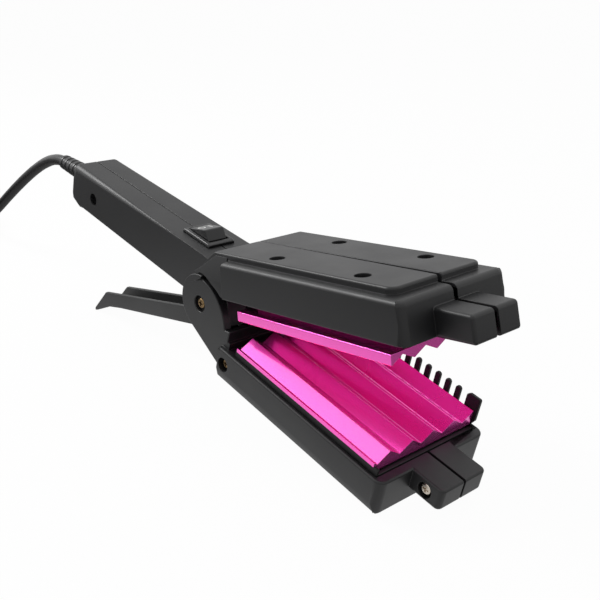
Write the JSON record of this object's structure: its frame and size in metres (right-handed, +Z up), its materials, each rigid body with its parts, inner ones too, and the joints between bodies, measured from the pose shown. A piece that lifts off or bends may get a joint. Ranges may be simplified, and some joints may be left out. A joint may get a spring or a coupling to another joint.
{
  "type": "hair waver",
  "caption": "Plier-type hair waver standing half open: ridged heating plates in two hinged housings, handle with rocker switch, channel lever, side comb and mains cord.",
  "frame": {"origin": "on the table, under the middle of the waver without its cord, as it stands half open on the front edge of its jaw base and the tip of its lever", "axes": "+X towards the nose, +Y to the left of someone who looks towards the nose, along the axle, +Z up"},
  "size_m": [0.5267, 0.0998, 0.09],
  "materials": {
    "casing": "satin",
    "waving_plate": "gloss",
    "heater": "matte",
    "clamp_steel": "satin",
    "heat_tray": "satin",
    "screw_steel": "satin",
    "pivot_screw": "satin",
    "axle_steel": "satin",
    "spring_steel": "satin",
    "switch_black": "satin",
    "terminal_brass": "satin",
    "fuse_can": "satin",
    "terminal_nylon": "matte",
    "wire_sleeve": "matte",
    "cord_rubber": "satin",
    "cord_tie": "matte",
    "bush_brass": "satin"
  },
  "bodies": {
    "main": {"main_shell_right": "casing", "main_shell_left": "casing", "lower_plate": "waving_plate", "lower_heater": "heater", "lower_heater_clamp": "clamp_steel", "lower_carrier": "heat_tray", "comb": "heat_tray", "jaw_screws": "screw_steel", "case_screws": "screw_steel", "pivot_axle": "axle_steel", "pivot_screws": "pivot_screw", "return_spring": "spring_steel", "switch_housing": "switch_black", "switch_terminals": "terminal_brass", "thermal_fuse": "fuse_can", "terminal_block": "terminal_nylon", "handle_wires": "wire_sleeve", "strain_relief": "cord_rubber", "cord": "cord_rubber", "cord_coil": "cord_rubber", "cord_tie": "cord_tie", "plug_body": "cord_rubber", "plug_pins": "terminal_brass"},
    "rocker": {"switch_rocker": "switch_black"},
    "upper": {"upper_shell_right": "casing", "upper_shell_left": "casing", "upper_plate": "waving_plate", "upper_heater": "heater", "upper_heater_clamp": "clamp_steel", "upper_carrier": "heat_tray", "cover_screws": "screw_steel", "lever": "casing", "pivot_bush": "bush_brass"}
  },
  "joints": [
    {"name": "jaw_hinge", "type": "hinge", "parent": "main", "child": "upper", "pos_m": [0.00254, 0, 0.05108], "axis": [0, 1, 0], "range_deg": [0, 20], "stiffness_Nm_per_rad": 0.6, "springref_deg": -57.3, "deforming": ["return_spring"]},
    {"name": "rocker_hinge", "type": "hinge", "parent": "main", "child": "rocker", "pos_m": [-0.02938, 0, 0.0664], "axis": [0, 1, 0], "range_deg": [0, 18]}
  ]
}
